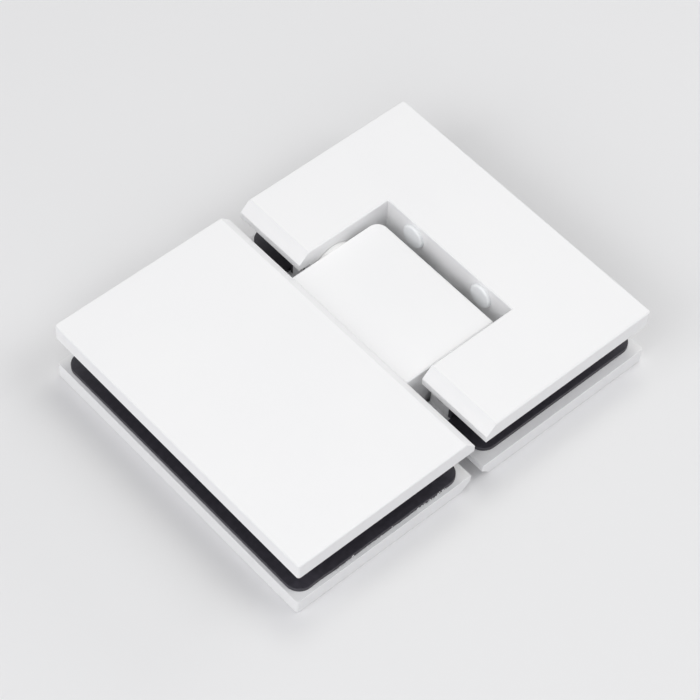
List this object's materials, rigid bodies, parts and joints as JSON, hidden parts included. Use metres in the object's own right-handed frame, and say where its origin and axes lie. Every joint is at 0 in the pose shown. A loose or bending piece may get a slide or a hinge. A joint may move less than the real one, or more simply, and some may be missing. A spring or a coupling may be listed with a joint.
{
  "type": "glass door hinge",
  "caption": "Glass-to-glass door hinge: two clamp leaves with black gaskets, a knuckle in a square notch, and a sprung detent on the pin.",
  "frame": {"origin": "middle of the gap between the two leaves, half way through the thickness", "axes": "+X towards the notched door leaf, +Y along the pin, +Z out of the front plates"},
  "size_m": [0.1138, 0.09, 0.0204],
  "materials": {
    "white_coat": "white powder coat, satin",
    "black_rubber": "matt black rubber",
    "screw_steel": "stainless, turned",
    "pin_steel": "stainless, ground",
    "spring_steel": "spring wire",
    "bush_nylon": "natural nylon",
    "buffer_nylon": "white nylon",
    "plunger_brass": "turned brass"
  },
  "bodies": {
    "fixed_leaf": {"fixed_front_plate": "white_coat", "fixed_back_plate": "white_coat", "knuckle_block": "white_coat", "fixed_front_gasket": "black_rubber", "fixed_glass_spacer": "black_rubber", "fixed_back_gasket": "black_rubber", "fixed_clamp_screw_upper": "screw_steel", "fixed_clamp_screw_lower": "screw_steel", "block_screw_upper": "screw_steel", "block_screw_lower": "screw_steel", "pin_bush_upper": "bush_nylon", "pin_bush_lower": "bush_nylon", "detent_spring_upper": "spring_steel", "detent_spring_lower": "spring_steel", "spring_plug_upper": "screw_steel", "spring_plug_lower": "screw_steel"},
    "door_leaf": {"door_front_body": "white_coat", "door_back_plate": "white_coat", "door_front_gasket": "black_rubber", "door_glass_spacer": "black_rubber", "door_back_gasket": "black_rubber", "pivot_pin": "pin_steel", "door_clamp_screw_upper": "screw_steel", "door_clamp_screw_lower": "screw_steel", "pin_set_screw_upper": "screw_steel", "pin_set_screw_lower": "screw_steel", "notch_buffer_upper": "buffer_nylon", "notch_buffer_lower": "buffer_nylon"},
    "detent_plunger_upper": {"detent_plunger_upper": "plunger_brass"},
    "detent_plunger_lower": {"detent_plunger_lower": "plunger_brass"}
  },
  "joints": [
    {"name": "door_swing", "type": "hinge", "parent": "fixed_leaf", "child": "door_leaf", "pos_m": [0.01285, 0, 0], "axis": [0, 1, 0], "range_deg": [-90, 90]},
    {"name": "plunger_slide_upper", "type": "slide", "parent": "fixed_leaf", "child": "detent_plunger_upper", "axis": [1, 0, 0], "range_m": [0, 0.001], "stiffness_N_per_m": 5000, "deforming": ["detent_spring_upper"]},
    {"name": "plunger_slide_lower", "type": "slide", "parent": "fixed_leaf", "child": "detent_plunger_lower", "axis": [1, 0, 0], "range_m": [0, 0.001], "stiffness_N_per_m": 5000, "deforming": ["detent_spring_lower"]}
  ]
}
